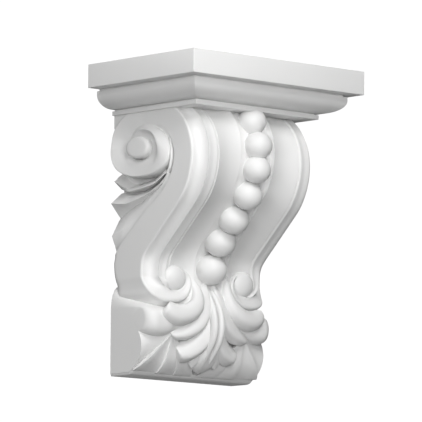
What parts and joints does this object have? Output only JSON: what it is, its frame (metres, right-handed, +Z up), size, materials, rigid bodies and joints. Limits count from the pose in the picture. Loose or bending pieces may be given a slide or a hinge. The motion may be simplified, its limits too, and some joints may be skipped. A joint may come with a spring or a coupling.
{
  "type": "corbel",
  "caption": "Carved scroll corbel with a moulded cap, a string of beads down a fluted front, side volutes and an acanthus foot; carries a shelf or beam on a wall.",
  "frame": {"origin": "middle of the flat back face that lies against the wall", "axes": "+Y into the wall, square to the back face; +Z up along the height, the longest side; +X to the right of someone who faces the front"},
  "size_m": [0.23, 0.158, 0.31],
  "materials": {
    "primed_white": "smooth factory-primed white, matt with a faint sheen"
  },
  "bodies": {
    "root": {"corbel": "primed_white"}
  },
  "joints": []
}
